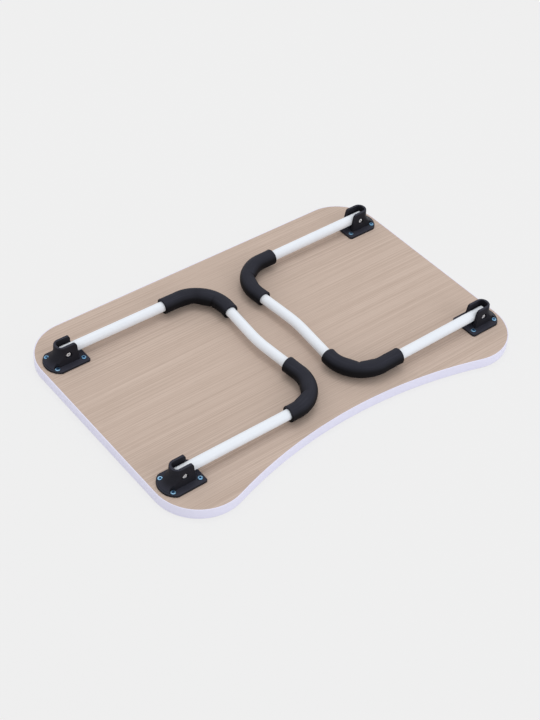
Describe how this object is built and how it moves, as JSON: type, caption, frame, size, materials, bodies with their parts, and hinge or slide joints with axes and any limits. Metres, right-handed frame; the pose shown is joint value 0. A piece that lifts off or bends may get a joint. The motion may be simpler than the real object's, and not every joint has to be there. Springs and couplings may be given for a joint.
{
  "type": "bed tray table",
  "caption": "Low folding bed tray table with a curved-in front edge, shown face down with both U-shaped tube legs folded flat against its underside.",
  "frame": {"origin": "centre of the board's bounding rectangle, in the plane of its working face", "axes": "+X along the long side of the board, +Y from the curved front edge to the straight back edge, +Z from the working face to the underside, so the table lies face down as in the picture"},
  "size_m": [0.6, 0.4, 0.0475],
  "materials": {
    "board core": "matt pressed wood fibre",
    "worktop laminate": "satin wood-grain laminate",
    "underside laminate": "satin wood-grain laminate",
    "edge band": "smooth pale lilac-white PVC",
    "socket plastic": "satin black moulded plastic",
    "zinc screw": "blue zinc plate",
    "pivot steel": "bright zinc plate",
    "sleeve foam": "matt soft black foam rubber",
    "leg paint": "gloss white powder coat"
  },
  "bodies": {
    "tabletop": {"board_core": "board core", "worktop_laminate": "worktop laminate", "underside_laminate": "underside laminate", "edge_band": "edge band", "socket_left_front": "socket plastic", "socket_screws_left_front": "zinc screw", "pivot_bolt_left_front": "pivot steel", "pivot_nut_left_front": "pivot steel", "socket_left_back": "socket plastic", "socket_screws_left_back": "zinc screw", "pivot_bolt_left_back": "pivot steel", "pivot_nut_left_back": "pivot steel", "socket_right_front": "socket plastic", "socket_screws_right_front": "zinc screw", "pivot_bolt_right_front": "pivot steel", "pivot_nut_right_front": "pivot steel", "socket_right_back": "socket plastic", "socket_screws_right_back": "zinc screw", "pivot_bolt_right_back": "pivot steel", "pivot_nut_right_back": "pivot steel"},
    "left_leg": {"leg_tube_left": "leg paint", "foot_sleeve_left_front": "sleeve foam", "foot_sleeve_left_back": "sleeve foam"},
    "right_leg": {"leg_tube_right": "leg paint", "foot_sleeve_right_front": "sleeve foam", "foot_sleeve_right_back": "sleeve foam"}
  },
  "joints": [
    {"name": "left_leg_fold", "type": "hinge", "parent": "tabletop", "child": "left_leg", "pos_m": [-0.262, 0, 0.0325], "axis": [0, -1, 0], "range_deg": [0, 101.8]},
    {"name": "right_leg_fold", "type": "hinge", "parent": "tabletop", "child": "right_leg", "pos_m": [0.262, 0, 0.0325], "axis": [0, 1, 0], "range_deg": [0, 101.8]}
  ]
}
